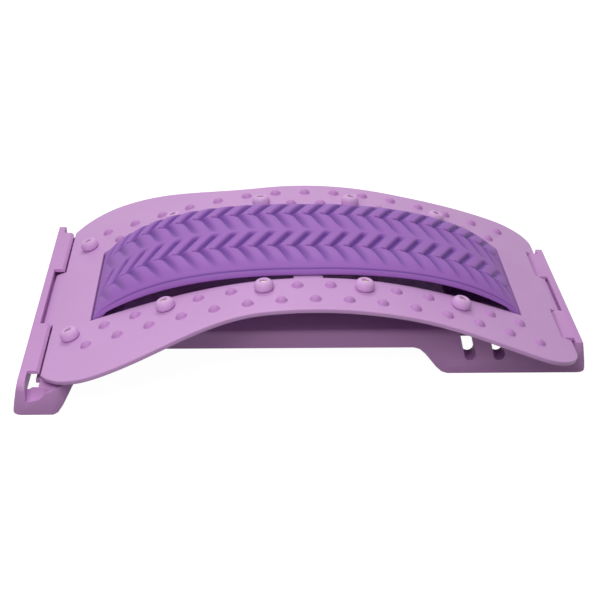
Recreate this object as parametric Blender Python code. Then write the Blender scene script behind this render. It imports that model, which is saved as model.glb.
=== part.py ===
# Back stretcher: a thin arched board sprung between the end rails of a moulded base,
# with a soft chevron pad over its window and ten magnet caps.
# Frame: origin on the floor under the middle of the base, +X towards the narrow end with the
# level slots, +Y towards the back, +Z up. All lengths are in metres.

import math

import bmesh
import bpy
import numpy as np
from mathutils import Matrix, Vector

# Driving dimensions of the base
BASE_LENGTH = 0.385
LEFT_WIDTH = 0.2425
BODY_WIDTH = 0.145
WALL = 0.0025
RAIL_HEIGHT = 0.0235
RAIL_TOP_WIDTH = 0.0048
END_DRAFT = 0.0045
DECK_HEIGHT = 0.033
DECK_END_INSET = 0.0675
LEFT_SEAT_HEIGHT = 0.0157
SEAT_FLOOR_LENGTH = 0.010
BRIDGE_HEIGHT = 0.0205
LEFT_FOOT_LENGTH = 0.0265
RIGHT_FOOT_LENGTH = 0.096
LEFT_RISE_LENGTH = 0.018
RIGHT_RISE_LENGTH = 0.024
SHOULDER_INSET = 0.026
SHOULDER_LENGTH = 0.042
PLAN_CORNER_RADIUS = 0.006
LEFT_END_ROUND = 0.007

# Driving dimensions of the scoops in the left foot, between its rail and its front and back walls
SCOOP_LENGTH = 0.0135
SCOOP_HALF_WIDTH = 0.0065
SCOOP_DEPTH = 0.0085
SCOOP_RISE = 0.0018
SCOOP_END_INSET = 0.0105
SCOOP_SIDE_INSET = 0.00275

# Driving dimensions of the level slots in the right foot, and of the trough between them
SLOT_WIDTH = 0.008
SLOT_FLOOR_HEIGHT = 0.010
SLOT_SPACING = 0.020
SLOT_COUNT = 2
SLOT_REACH = 0.032
FIRST_SLOT_INSET = 0.083
TROUGH_HALF_WIDTH = 0.0315
TROUGH_MARGIN = 0.007
SLOT_LEAN = math.radians(14)
SLOT_SLEEVE_DEPTH = 0.012

# Driving dimensions of the board
BOARD_THICKNESS = 0.003
END_SLOPE = math.radians(20.4)
BEND_HALF_LENGTH = 0.164
CROWN_SHIFT = 0.004
WAIST_HALF_WIDTH = 0.1005
LEFT_FLARE_HALF_WIDTH = 0.131
RIGHT_FLARE_HALF_WIDTH = 0.108
LEFT_FLARE_LENGTH = 0.113
RIGHT_FLARE_LENGTH = 0.090
LEFT_CORNER_LENGTH = 0.046
LEFT_CORNER_DEPTH = 0.051
RIGHT_CORNER_LENGTH = 0.030
RIGHT_CORNER_DEPTH = 0.0255
LEFT_PANEL_LENGTH = 0.0367
RIGHT_PANEL_LENGTH = 0.0349
WINDOW_END_HALF_WIDTH = 0.053
WINDOW_BOW = 0.003
BAR_HALF_WIDTH = 0.010

# Driving dimensions of the rail lips, and of the board's notches round them
NOTCH_DEPTH = 0.0075
LIP_THICKNESS = 0.0024
LIP_CHAMFER = 0.0018
LEFT_LIP_START = 0.0415
LEFT_LIP_END = 0.105
RIGHT_LIP_START = 0.0265
RIGHT_LIP_END = 0.0655
LIP_HOLE_INSET = 0.012
LIP_HOLE_MARGIN = 0.0028
LEFT_HOLE_LEAD = 0.002
LEFT_HOLE_OVERRUN = 0.0075

# Driving dimensions of the moulded nubs
NUB_PITCH = 0.0222
NUB_RADIUS = 0.0036
NUB_HEIGHT = 0.0022
NUB_FOOT_SPREAD = 0.0004
NUB_SINK = 0.00075
NUB_DOME_ANGLES = (42, 73)
OUTER_NUB_Y = 0.0868
INNER_NUB_Y = 0.0672
NUB_ROW_OVERHANG = 0.005

# Driving dimensions of the magnet caps and magnets
CAP_RADIUS = 0.0068
CAP_HEIGHT = 0.0070
CAP_FOOT_HEIGHT = 0.0016
CAP_DOME_ANGLE = 60
CAP_Y = 0.069
END_CAP_INSET = 0.0120
CAP_EVERY = 3
FIRST_CAP = 1
CAP_STEM_RADIUS = 0.0040
CAP_SNAP_RADIUS = 0.0048
CAP_SNAP_LENGTH = 0.0014
CAP_EYE_RADIUS = 0.0017
CAP_CROWN_WALL = 0.0012
MAGNET_RADIUS = 0.0028
MAGNET_LENGTH = 0.0060

# Driving dimensions of the pad
PAD_BOW = 0.002
PAD_SIDE_HEIGHT = 0.0035
PAD_CROWN_HEIGHT = 0.0072
PAD_SWELL = 0.0028
PAD_EDGE_HEIGHT = -0.0006
PAD_LIFT = 0.0044
PAD_LIFT_SKEW = 1.6
PAD_DOME_POWER = 10
PAD_END_POWER = 8
PAD_BORDER = 0.0065
PAD_RAMP_LENGTH = 0.012
PAD_TONGUE_LENGTH = 0.008
PAD_TONGUE_THICKNESS = 0.0022
PAD_TONGUE_STEP = 0.0001
CHEVRON_COUNT = 24
CHEVRON_DEPTH = 0.0016
CHEVRON_SWEEP = 0.012
CHEVRON_MARGIN = 0.0011
CHEVRON_FADE_POWER = 8

# One chevron along the pad: shares of its pitch, and of the full groove depth there
CHEVRON_SECTION = [(0.0, 0.0), (0.30, 1.0), (0.55, 0.2)]

# Named clearances
TOUCH_GAP = 0.0003
SEAT_CLEARANCE = 0.0005
LIP_CLEARANCE = 0.0010
LIP_END_CLEARANCE = 0.0010
STEM_CLEARANCE = 0.0004
PAD_END_CLEARANCE = 0.0013
PAD_SIDE_CLEARANCE = 0.0012

# Fineness of the meshes
STRIP_LENGTH = 0.012
CURVE_STEPS = 6
CORNER_STEPS = 4
SCOOP_RINGS = 8
SCOOP_SEGMENTS = 16
SCOOP_POLE_ANGLE = 85
ROUND_SEGMENTS = 12
NUB_SEGMENTS = 8
BEND_STEP = 0.0001
SHARP_ANGLE = math.radians(35)
OVERCUT = 0.02

LILAC = (0.597, 0.371, 0.644)
PURPLE = (0.305, 0.127, 0.479)
STEEL = (0.33, 0.31, 0.29)


def bend_table():
    """Arc length, x, drop from the crown and slope along the sheet's top face. The slope follows
    the sine of a sprung strip over BEND_HALF_LENGTH and stays at END_SLOPE beyond it. The table
    runs to BASE_LENGTH, well past the board's end."""
    count = int(round(BASE_LENGTH / BEND_STEP)) + 1
    arc = np.arange(count) * BEND_STEP
    share = np.minimum(arc / BEND_HALF_LENGTH, 1.0)
    slope = END_SLOPE * np.sin(math.pi / 2 * share)
    middle = (slope[1:] + slope[:-1]) / 2
    x = np.concatenate([[0.0], np.cumsum(np.cos(middle)) * BEND_STEP])
    drop = np.concatenate([[0.0], np.cumsum(np.sin(middle)) * BEND_STEP])
    return arc, x, drop, slope


ARC, ARC_X, ARC_DROP, ARC_SLOPE = bend_table()

# Places that follow from the driving dimensions
HALF_LENGTH = BASE_LENGTH / 2
RAIL_TOP_X = HALF_LENGTH - END_DRAFT
SEAT_WALL_X = RAIL_TOP_X - RAIL_TOP_WIDTH
HINGE_X = SEAT_WALL_X - SEAT_CLEARANCE - BOARD_THICKNESS / 2
END_RISE = TOUCH_GAP + BOARD_THICKNESS / 2
HINGE = Vector((-HINGE_X, 0.0, LEFT_SEAT_HEIGHT + END_RISE))
MIDDLE_X = ARC_X - BOARD_THICKNESS / 2 * np.sin(ARC_SLOPE)
MIDDLE_DROP = ARC_DROP + BOARD_THICKNESS / 2 * np.cos(ARC_SLOPE)
LEFT_END_S = float(np.interp(HINGE_X + CROWN_SHIFT, MIDDLE_X, ARC))
RIGHT_END_S = float(np.interp(HINGE_X - CROWN_SHIFT, MIDDLE_X, ARC))
CROWN_HEIGHT = HINGE.z + float(np.interp(LEFT_END_S, ARC, MIDDLE_DROP))
RIGHT_END_DROP = float(np.interp(RIGHT_END_S, ARC, MIDDLE_DROP))
RIGHT_SEAT_HEIGHT = CROWN_HEIGHT - RIGHT_END_DROP - END_RISE


def slope_at(s):
    """Signed slope of the sheet at arc length s."""
    return math.copysign(float(np.interp(abs(s), ARC, ARC_SLOPE)), s)


def on_arch(s, y, h):
    """Point at arc length s, across at y and h above the sheet's top face."""
    x = CROWN_SHIFT + math.copysign(float(np.interp(abs(s), ARC, ARC_X)), s)
    z = CROWN_HEIGHT - float(np.interp(abs(s), ARC, ARC_DROP))
    slope = slope_at(s)
    return Vector((x + h * math.sin(slope), y, z + h * math.cos(slope)))


# Places along the board, and of what lines up with it
LEFT_NOTCH_S = LEFT_END_S - NOTCH_DEPTH
RIGHT_NOTCH_S = RIGHT_END_S - NOTCH_DEPTH
LEFT_CORNER_START = LEFT_END_S - LEFT_CORNER_LENGTH
RIGHT_CORNER_START = RIGHT_END_S - RIGHT_CORNER_LENGTH
WINDOW_LEFT_S = LEFT_PANEL_LENGTH - LEFT_END_S
WINDOW_RIGHT_S = RIGHT_END_S - RIGHT_PANEL_LENGTH
WINDOW_MIDDLE_S = (WINDOW_LEFT_S + WINDOW_RIGHT_S) / 2
WINDOW_HALF_LENGTH = (WINDOW_RIGHT_S - WINDOW_LEFT_S) / 2
NUB_HALF_COUNT = int((WINDOW_HALF_LENGTH + NUB_ROW_OVERHANG) / NUB_PITCH)
SEAT_INNER_X = HINGE_X - SEAT_FLOOR_LENGTH
DECK_HALF_LENGTH = HALF_LENGTH - DECK_END_INSET
LIP_INNER_X = on_arch(RIGHT_NOTCH_S, 0.0, 0.0).x + LIP_CLEARANCE
PAD_HALF_LENGTH = WINDOW_HALF_LENGTH - PAD_END_CLEARANCE
PAD_END_HALF_WIDTH = WINDOW_END_HALF_WIDTH - PAD_SIDE_CLEARANCE
PAD_FOOT = -BOARD_THICKNESS - TOUCH_GAP - PAD_TONGUE_THICKNESS
CAP_POCKET_TOP = CAP_HEIGHT - CAP_CROWN_WALL


def smooth_step(t):
    """Half a cosine wave from 0 to 1."""
    return 0.5 - 0.5 * math.cos(math.pi * min(max(t, 0.0), 1.0))


def clear_scene():
    for thing in list(bpy.data.objects):
        bpy.data.objects.remove(thing, do_unlink=True)


def plastic(name, colour, roughness, metallic=0.0):
    """A Principled material with the part's colour and finish."""
    material = bpy.data.materials.new(name)
    material.use_nodes = True
    shader = material.node_tree.nodes["Principled BSDF"]
    shader.inputs["Base Color"].default_value = (*colour, 1.0)
    shader.inputs["Roughness"].default_value = roughness
    shader.inputs["Metallic"].default_value = metallic
    return material


def link_object(name, mesh, material=None, parent=None):
    thing = bpy.data.objects.new(name, mesh)
    bpy.context.collection.objects.link(thing)
    if material is not None:
        mesh.materials.clear()
        mesh.materials.append(material)
    if parent is not None:
        thing.parent = parent
    return thing


def mesh_from(name, points, faces):
    mesh = bpy.data.meshes.new(name)
    mesh.from_pydata([tuple(p) for p in points], [], faces)
    work = bmesh.new()
    work.from_mesh(mesh)
    bmesh.ops.recalc_face_normals(work, faces=work.faces)
    work.to_mesh(mesh)
    work.free()
    return mesh


def prism(name, outline, low, high, place):
    """A closed prism: the outline at low and again at high, put into space by place(a, b, c)."""
    count = len(outline)
    points = [place(a, b, low) for a, b in outline] + [place(a, b, high) for a, b in outline]
    faces = [tuple(range(count)), tuple(range(2 * count - 1, count - 1, -1))]
    for k in range(count):
        n = (k + 1) % count
        faces.append((k, n, n + count, k + count))
    return link_object(name, mesh_from(name, points, faces))


def plan_place(a, b, c):
    return (a, b, c)


def side_place(a, b, c):
    return (a, c, b)


def front_place(a, b, c):
    return (c, a, b)


def box(name, low, high):
    outline = [(low[0], low[1]), (high[0], low[1]), (high[0], high[1]), (low[0], high[1])]
    return prism(name, outline, low[2], high[2], plan_place)


def rings(name, loops, closed):
    """A surface through equal loops of points: joined end to end, or capped at both ends."""
    count = len(loops[0])
    points = [p for loop in loops for p in loop]
    faces = []
    steps = len(loops) if closed else len(loops) - 1
    for i in range(steps):
        j = (i + 1) % len(loops)
        for k in range(count):
            n = (k + 1) % count
            faces.append((i * count + k, i * count + n, j * count + n, j * count + k))
    if not closed:
        last = (len(loops) - 1) * count
        faces.append(tuple(range(count)))
        faces.append(tuple(range(last, last + count)))
    return mesh_from(name, points, faces)


def turned(name, profile, segments, closed):
    """A profile of (radius, height) turned about the Z axis."""
    loops = []
    for radius, height in profile:
        loop = []
        for k in range(segments):
            angle = 2 * math.pi * k / segments
            loop.append((radius * math.cos(angle), radius * math.sin(angle), height))
        loops.append(loop)
    return rings(name, loops, closed)


def combine(body, tool, operation):
    """Apply one exact Boolean to body and take the tool away."""
    cut = body.modifiers.new(operation.lower(), "BOOLEAN")
    cut.operation = operation
    cut.solver = "EXACT"
    cut.object = tool
    graph = bpy.context.evaluated_depsgraph_get()
    result = bpy.data.meshes.new_from_object(body.evaluated_get(graph))
    body.modifiers.clear()
    body.data = result
    bpy.data.objects.remove(tool, do_unlink=True)


def join_meshes(name, things):
    """One object holding the separate bodies of several, for use as a Boolean tool."""
    work = bmesh.new()
    for thing in things:
        copy = thing.data.copy()
        copy.transform(thing.matrix_basis)
        work.from_mesh(copy)
        bpy.data.objects.remove(thing, do_unlink=True)
    mesh = bpy.data.meshes.new(name)
    work.to_mesh(mesh)
    work.free()
    return link_object(name, mesh)


def inset(outline, distance):
    """The closed outline, run anticlockwise, moved inwards by distance along its normals."""
    count = len(outline)
    moved = []
    for k in range(count):
        here = Vector(outline[k])
        before = (here - Vector(outline[k - 1])).normalized()
        after = (Vector(outline[(k + 1) % count]) - here).normalized()
        inward = Vector((-before.y - after.y, before.x + after.x))
        spread = 1.0 + before.dot(after)
        moved.append(tuple(here + inward * (distance / spread)))
    return moved


def arc_points(centre, radius_a, radius_b, start, end, steps):
    """Points of an ellipse's arc, angles in degrees."""
    points = []
    for k in range(steps + 1):
        angle = math.radians(start + (end - start) * k / steps)
        a = centre[0] + radius_a * math.cos(angle)
        b = centre[1] + radius_b * math.sin(angle)
        points.append((a, b))
    return points


def base_plan():
    """Plan of the base, anticlockwise: narrow right end, wide left end, curved shoulders."""
    half_body = BODY_WIDTH / 2
    half_left = LEFT_WIDTH / 2
    r = PLAN_CORNER_RADIUS
    back = arc_points((HALF_LENGTH - r, half_body - r), r, r, 0, 90, CORNER_STEPS)
    for k in range(2 * CURVE_STEPS + 1):
        share = k / (2 * CURVE_STEPS)
        x = -HALF_LENGTH + SHOULDER_INSET + SHOULDER_LENGTH * (1.0 - share)
        back.append((x, half_body + (half_left - half_body) * smooth_step(share)))
    back += arc_points((-HALF_LENGTH + r, half_left - r), r, r, 90, 180, CORNER_STEPS)
    front = [(x, -y) for x, y in reversed(back)]
    return back + front


def base_side():
    """Side outline of the base: feet, raised bridge, deck, seats and rails."""
    left_foot = -HALF_LENGTH + LEFT_FOOT_LENGTH
    right_foot = HALF_LENGTH - RIGHT_FOOT_LENGTH
    points = [(-HALF_LENGTH, 0.0)]
    for k in range(CURVE_STEPS + 1):
        share = k / CURVE_STEPS
        points.append((left_foot + LEFT_RISE_LENGTH * share, BRIDGE_HEIGHT * smooth_step(share)))
    for k in range(CURVE_STEPS + 1):
        share = 1.0 - k / CURVE_STEPS
        points.append((right_foot - RIGHT_RISE_LENGTH * share, BRIDGE_HEIGHT * smooth_step(share)))
    right_end = [
        (HALF_LENGTH, 0.0),
        (RAIL_TOP_X, RAIL_HEIGHT),
        (SEAT_WALL_X, RAIL_HEIGHT),
        (SEAT_WALL_X, RIGHT_SEAT_HEIGHT),
        (SEAT_INNER_X, RIGHT_SEAT_HEIGHT),
        (DECK_HALF_LENGTH, DECK_HEIGHT),
    ]
    left_end = [
        (-DECK_HALF_LENGTH, DECK_HEIGHT),
        (-SEAT_INNER_X, LEFT_SEAT_HEIGHT),
        (-SEAT_WALL_X, LEFT_SEAT_HEIGHT),
        (-SEAT_WALL_X, RAIL_HEIGHT),
        (-RAIL_TOP_X, RAIL_HEIGHT),
    ]
    return points + right_end + left_end


def cavity_side():
    """Side outline of the hollow: the same walls moved in by WALL, open underneath."""
    outline = []
    for side, seat in ((1, RIGHT_SEAT_HEIGHT), (-1, LEFT_SEAT_HEIGHT)):
        roof = seat - WALL
        lean = END_DRAFT * roof / RAIL_HEIGHT
        end = [
            (side * (HALF_LENGTH - WALL), -OVERCUT),
            (side * (HALF_LENGTH - WALL), 0.0),
            (side * (HALF_LENGTH - WALL - lean), roof),
            (side * SEAT_INNER_X, roof),
            (side * DECK_HALF_LENGTH, DECK_HEIGHT - WALL),
        ]
        outline += end if side > 0 else list(reversed(end))
    return outline


def rounded_front(margin):
    """Front outline of the left foot, its top corners rounded off towards both ends."""
    half = LEFT_WIDTH / 2 - margin
    low = RAIL_HEIGHT - LEFT_END_ROUND - margin
    centre = (half - LEFT_END_ROUND, low)
    right = [(half, -2 * OVERCUT)]
    right += arc_points(centre, LEFT_END_ROUND, LEFT_END_ROUND, 0, 90, CORNER_STEPS)
    right.append((half - LEFT_END_ROUND, DECK_HEIGHT + OVERCUT))
    return right + [(-y, z) for y, z in reversed(right)]


def walled_solid(name, plan, side, front):
    """The solid shared by a plan, a side outline and a front outline."""
    solid = prism(name, plan, -OVERCUT, DECK_HEIGHT + OVERCUT, plan_place)
    across = LEFT_WIDTH / 2 + OVERCUT
    combine(solid, prism("side_tool", side, -across, across, side_place), "INTERSECT")
    along = HALF_LENGTH + OVERCUT
    combine(solid, prism("front_tool", front, -along, along, front_place), "INTERSECT")
    return solid


def rail_lips(side, start, end):
    """Two rail lips on one end, over the seat, rooted in the middle of the rail's top and
    chamfered along their inner edge, so that the board's notch can swing up past them."""
    root = (SEAT_WALL_X + RAIL_TOP_X) / 2
    low = RAIL_HEIGHT - LIP_THICKNESS
    outline = [
        (side * LIP_INNER_X, low),
        (side * root, low),
        (side * root, RAIL_HEIGHT),
        (side * (LIP_INNER_X + LIP_CHAMFER), RAIL_HEIGHT),
        (side * LIP_INNER_X, RAIL_HEIGHT - LIP_CHAMFER),
    ]
    lips = []
    for across in (-1, 1):
        near, far = sorted((across * start, across * end))
        lips.append(prism("lip", outline, near, far, side_place))
    return lips


def lip_holes(side, start, end, widens):
    """The openings in the seat floor under the lips, up to halfway between the two. Each keeps a
    margin from the lip's inner edge, and has the seat's full width where it widens, past the lip."""
    seat = LEFT_SEAT_HEIGHT if side < 0 else RIGHT_SEAT_HEIGHT
    high = (seat + RAIL_HEIGHT - LIP_THICKNESS) / 2
    narrow = LIP_INNER_X + LIP_HOLE_MARGIN
    half = [(SEAT_WALL_X, start), (narrow, start)]
    if widens < end:
        half += [(narrow, widens), (LIP_INNER_X, widens), (LIP_INNER_X, end)]
    else:
        half.append((narrow, end))
    half.append((SEAT_WALL_X, end))
    holes = []
    for across in (-1, 1):
        outline = [(side * x, across * y) for x, y in half]
        holes.append(prism("lip_hole", outline, WALL, high, plan_place))
    return holes


def foot_scoop(across, margin):
    """An ellipsoid over one end of the left seat, grown by margin, that hollows the foot's top."""
    radii = (SCOOP_LENGTH + margin, SCOOP_HALF_WIDTH + margin, SCOOP_DEPTH + margin)
    profile = arc_points((0.0, 0.0), 1.0, 1.0, SCOOP_POLE_ANGLE, -SCOOP_POLE_ANGLE, SCOOP_RINGS)
    scoop = link_object("scoop", turned("scoop", profile, SCOOP_SEGMENTS, False))
    scoop.data.transform(Matrix.Diagonal((*radii, 1.0)))
    x = SCOOP_END_INSET - HALF_LENGTH
    y = across * (LEFT_WIDTH / 2 - SCOOP_SIDE_INSET)
    scoop.data.transform(Matrix.Translation((x, y, LEFT_SEAT_HEIGHT + SCOOP_RISE)))
    return scoop


def scoop_tool(across):
    """The scoop as it is cut: without the part that would reach into the rail."""
    scoop = foot_scoop(across, 0.0)
    reach = HALF_LENGTH
    kept = box("kept", (-SEAT_WALL_X, -reach, -OVERCUT), (0.0, reach, DECK_HEIGHT + OVERCUT))
    combine(scoop, kept, "INTERSECT")
    return scoop


def slot_positions():
    """The slots' places along X, at half their height."""
    first = HALF_LENGTH - FIRST_SLOT_INSET
    return [first + k * SLOT_SPACING for k in range(SLOT_COUNT)]


def slot_outline(place, margin):
    """Side outline of one slot, grown by margin: a round bottom and straight sides that lean to
    the left."""
    half = SLOT_WIDTH / 2 + margin
    middle = (SLOT_FLOOR_HEIGHT + DECK_HEIGHT) / 2
    low = SLOT_FLOOR_HEIGHT + SLOT_WIDTH / 2
    high = DECK_HEIGHT + OVERCUT
    low_x = place + (middle - low) * math.tan(SLOT_LEAN)
    high_x = place + (middle - high) * math.tan(SLOT_LEAN)
    outline = arc_points((low_x, low), half, half, 180, 360, CURVE_STEPS)
    return outline + [(high_x + half, high), (high_x - half, high)]


def slot_prisms(margin, inner, outer):
    """Every slot on both sides, grown by margin, from inner to outer across."""
    prisms = []
    for x in slot_positions():
        for side in (-1, 1):
            near, far = sorted((side * inner, side * outer))
            prisms.append(prism("slot", slot_outline(x, margin), near, far, side_place))
    return prisms


def trough_box(margin, high):
    """The trough between the level slots, for the tongue of the board's end, grown by margin."""
    places = slot_positions()
    lean = (DECK_HEIGHT - SLOT_FLOOR_HEIGHT) / 2 * math.tan(SLOT_LEAN)
    reach = lean + TROUGH_MARGIN + margin
    half = TROUGH_HALF_WIDTH + margin
    low = (places[0] - reach, -half, SLOT_FLOOR_HEIGHT - margin)
    return box("trough", low, (places[-1] + reach, half, high))


def make_base(material):
    """The moulded base: a thin shell, open underneath, with walls round its trough, slots and
    scoops."""
    plan = base_plan()
    body = walled_solid("base", plan, base_side(), rounded_front(0.0))
    hollow = walled_solid("hollow", inset(plan, WALL), cavity_side(), rounded_front(WALL))
    above = DECK_HEIGHT + OVERCUT
    sleeve_end = BODY_WIDTH / 2 - WALL - SLOT_SLEEVE_DEPTH
    sleeves = slot_prisms(WALL, sleeve_end, BODY_WIDTH / 2)
    inner_walls = sleeves + [trough_box(WALL, above), foot_scoop(-1, WALL), foot_scoop(1, WALL)]
    combine(hollow, join_meshes("inner_walls", inner_walls), "DIFFERENCE")
    combine(body, hollow, "DIFFERENCE")

    slots = slot_prisms(0.0, BODY_WIDTH / 2 - SLOT_REACH, BODY_WIDTH / 2 + OVERCUT)
    rooms = slots + [trough_box(0.0, above), scoop_tool(-1), scoop_tool(1)]
    combine(body, join_meshes("rooms", rooms), "DIFFERENCE")

    left_start = LEFT_LIP_START + LIP_HOLE_INSET
    left_end = LEFT_LIP_END + LEFT_HOLE_OVERRUN
    holes = lip_holes(-1, left_start, left_end, LEFT_LIP_END - LEFT_HOLE_LEAD)
    right_end = RIGHT_LIP_END - LIP_HOLE_INSET
    holes += lip_holes(1, RIGHT_LIP_START + LIP_HOLE_INSET, right_end, right_end)
    combine(body, join_meshes("lip_holes", holes), "DIFFERENCE")

    lips = rail_lips(-1, LEFT_LIP_START, LEFT_LIP_END)
    lips += rail_lips(1, RIGHT_LIP_START, RIGHT_LIP_END)
    combine(body, join_meshes("lips", lips), "UNION")
    body.data.materials.clear()
    body.data.materials.append(material)
    body.name = "base"
    return body


def board_half_width(s):
    """Half width of the board: a waist that flares to both ends."""
    if s < 0:
        share = 1.0 - (LEFT_CORNER_START + s) / LEFT_FLARE_LENGTH
        return WAIST_HALF_WIDTH + (LEFT_FLARE_HALF_WIDTH - WAIST_HALF_WIDTH) * smooth_step(share)
    share = 1.0 - (RIGHT_CORNER_START - s) / RIGHT_FLARE_LENGTH
    return WAIST_HALF_WIDTH + (RIGHT_FLARE_HALF_WIDTH - WAIST_HALF_WIDTH) * smooth_step(share)


def board_outline():
    """Flat outline of the board as (s, y), with the notches round the rail lips."""
    right_ear = RIGHT_LIP_END + LIP_END_CLEARANCE
    left_tongue = LEFT_LIP_START - LIP_END_CLEARANCE
    right_tongue = RIGHT_LIP_START - LIP_END_CLEARANCE
    back = [
        (RIGHT_END_S, right_tongue),
        (RIGHT_NOTCH_S, right_tongue),
        (RIGHT_NOTCH_S, right_ear),
        (RIGHT_END_S, right_ear),
    ]
    centre = (RIGHT_CORNER_START, RIGHT_FLARE_HALF_WIDTH - RIGHT_CORNER_DEPTH)
    corner = (RIGHT_CORNER_LENGTH, RIGHT_CORNER_DEPTH)
    back += arc_points(centre, *corner, 0, 90, 2 * CORNER_STEPS)
    steps = 4 * CURVE_STEPS
    for k in range(1, steps):
        s = RIGHT_CORNER_START - (RIGHT_CORNER_START + LEFT_CORNER_START) * k / steps
        back.append((s, board_half_width(s)))
    centre = (-LEFT_CORNER_START, LEFT_FLARE_HALF_WIDTH - LEFT_CORNER_DEPTH)
    corner = (LEFT_CORNER_LENGTH, LEFT_CORNER_DEPTH)
    cut_off = math.degrees(math.acos(1.0 - NOTCH_DEPTH / LEFT_CORNER_LENGTH))
    back += arc_points(centre, *corner, 90, 180 - cut_off, 2 * CORNER_STEPS)
    back += [
        (-LEFT_NOTCH_S, left_tongue),
        (-LEFT_END_S, left_tongue),
    ]
    return back + [(s, -y) for s, y in reversed(back)]


def window_outline(side):
    """One half of the window, from the bar to one end, with bowed long edges."""
    back = []
    for k in range(2 * CURVE_STEPS + 1):
        reach = BAR_HALF_WIDTH + (WINDOW_HALF_LENGTH - BAR_HALF_WIDTH) * k / (2 * CURVE_STEPS)
        bow = WINDOW_BOW * math.cos(math.pi / 2 * reach / WINDOW_HALF_LENGTH)
        back.append((WINDOW_MIDDLE_S + side * reach, WINDOW_END_HALF_WIDTH + bow))
    outline = back + [(s, -y) for s, y in reversed(back)]
    return outline if side < 0 else list(reversed(outline))


def inner_places():
    """Places along the inner rows, in pitches from the middle, halfway between outer nubs."""
    return [k + 0.5 for k in range(-NUB_HALF_COUNT, NUB_HALF_COUNT)]


def takes_cap(place):
    return int(abs(place)) % CAP_EVERY == FIRST_CAP


def cap_places():
    """The (s, y) places of the ten caps: every third inner place, and two on the left panel."""
    along = [WINDOW_LEFT_S - END_CAP_INSET]
    along += [place * NUB_PITCH for place in inner_places() if takes_cap(place)]
    return [(s, side * CAP_Y) for side in (-1, 1) for s in along]


def nub_places():
    """The (s, y) places of the small nubs: a full outer row and the rest of the inner row."""
    places = []
    for side in (-1, 1):
        for k in range(-NUB_HALF_COUNT, NUB_HALF_COUNT + 1):
            places.append((k * NUB_PITCH, side * OUTER_NUB_Y))
        for place in inner_places():
            if not takes_cap(place):
                places.append((place * NUB_PITCH, side * INNER_NUB_Y))
    return places


def bend_onto_arch(mesh):
    """Take a flat mesh with (s, y, h) points onto the arch, seen from the hinge."""
    for vertex in mesh.vertices:
        vertex.co = on_arch(*vertex.co) - HINGE


def board_cutters():
    """The tools for the window's two halves and for the caps' holes."""
    cutters = []
    for side in (-1, 1):
        outline = window_outline(side)
        cutters.append(prism("window", outline, -OVERCUT, OVERCUT, plan_place))
    hole_radius = CAP_STEM_RADIUS + STEM_CLEARANCE
    for s, y in cap_places():
        outline = arc_points((s, y), hole_radius, hole_radius, 0, 360, ROUND_SEGMENTS)[:-1]
        cutters.append(prism("cap_hole", outline, -OVERCUT, OVERCUT, plan_place))
    return join_meshes("board_cutters", cutters)


def board_nubs():
    """The small nubs: elliptical domes with their feet sunk into the sheet."""
    start, end = NUB_DOME_ANGLES
    profile = [(NUB_RADIUS + NUB_FOOT_SPREAD, -NUB_SINK)]
    profile += arc_points((0.0, 0.0), NUB_RADIUS, NUB_HEIGHT, start, end, 1)
    dome = turned("nub", profile, NUB_SEGMENTS, False)
    nubs = []
    for s, y in nub_places():
        nub = link_object("nub", dome)
        nub.location = (s, y, 0.0)
        nubs.append(nub)
    return join_meshes("nubs", nubs)


def cut_into_strips(mesh):
    """Cut a flat mesh across every STRIP_LENGTH, so that it can bend in even steps."""
    work = bmesh.new()
    work.from_mesh(mesh)
    strips = int(LEFT_END_S / STRIP_LENGTH)
    for k in range(-strips, strips + 1):
        everything = work.verts[:] + work.edges[:] + work.faces[:]
        cut_at = (k * STRIP_LENGTH, 0.0, 0.0)
        bmesh.ops.bisect_plane(work, geom=everything, plane_co=cut_at, plane_no=(1, 0, 0))
    bmesh.ops.triangulate(work, faces=work.faces)
    work.to_mesh(mesh)
    work.free()


def make_board(material, hinge):
    """The arched board, cut flat and then bent."""
    board = prism("arch_board", board_outline(), -BOARD_THICKNESS, 0.0, plan_place)
    combine(board, board_cutters(), "DIFFERENCE")
    combine(board, board_nubs(), "UNION")
    cut_into_strips(board.data)
    bend_onto_arch(board.data)
    board.data.materials.clear()
    board.data.materials.append(material)
    board.parent = hinge
    board.name = "arch_board"
    return board


def pad_lift(t):
    """Height of the pad's lower edge: low at the bar and at both ends, bulging between them."""
    share = min(abs(t / PAD_HALF_LENGTH), 1.0)
    return TOUCH_GAP + PAD_LIFT * math.sin(math.pi * share ** PAD_LIFT_SKEW)


def pad_top(t, across):
    """Height of the pad's top above its lower edge: domed across, fullest in its left half and
    thinning to both ends."""
    share = t / PAD_HALF_LENGTH
    fullness = 1.0 - abs(share) ** PAD_END_POWER
    side = PAD_EDGE_HEIGHT + (PAD_SIDE_HEIGHT - PAD_EDGE_HEIGHT) * fullness
    swell = PAD_SWELL * math.sin(math.pi * min(max(-share, 0.0), 1.0))
    crown = (PAD_CROWN_HEIGHT - PAD_SIDE_HEIGHT) * fullness + swell
    return side + crown * (1.0 - abs(across) ** PAD_DOME_POWER)


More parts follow.
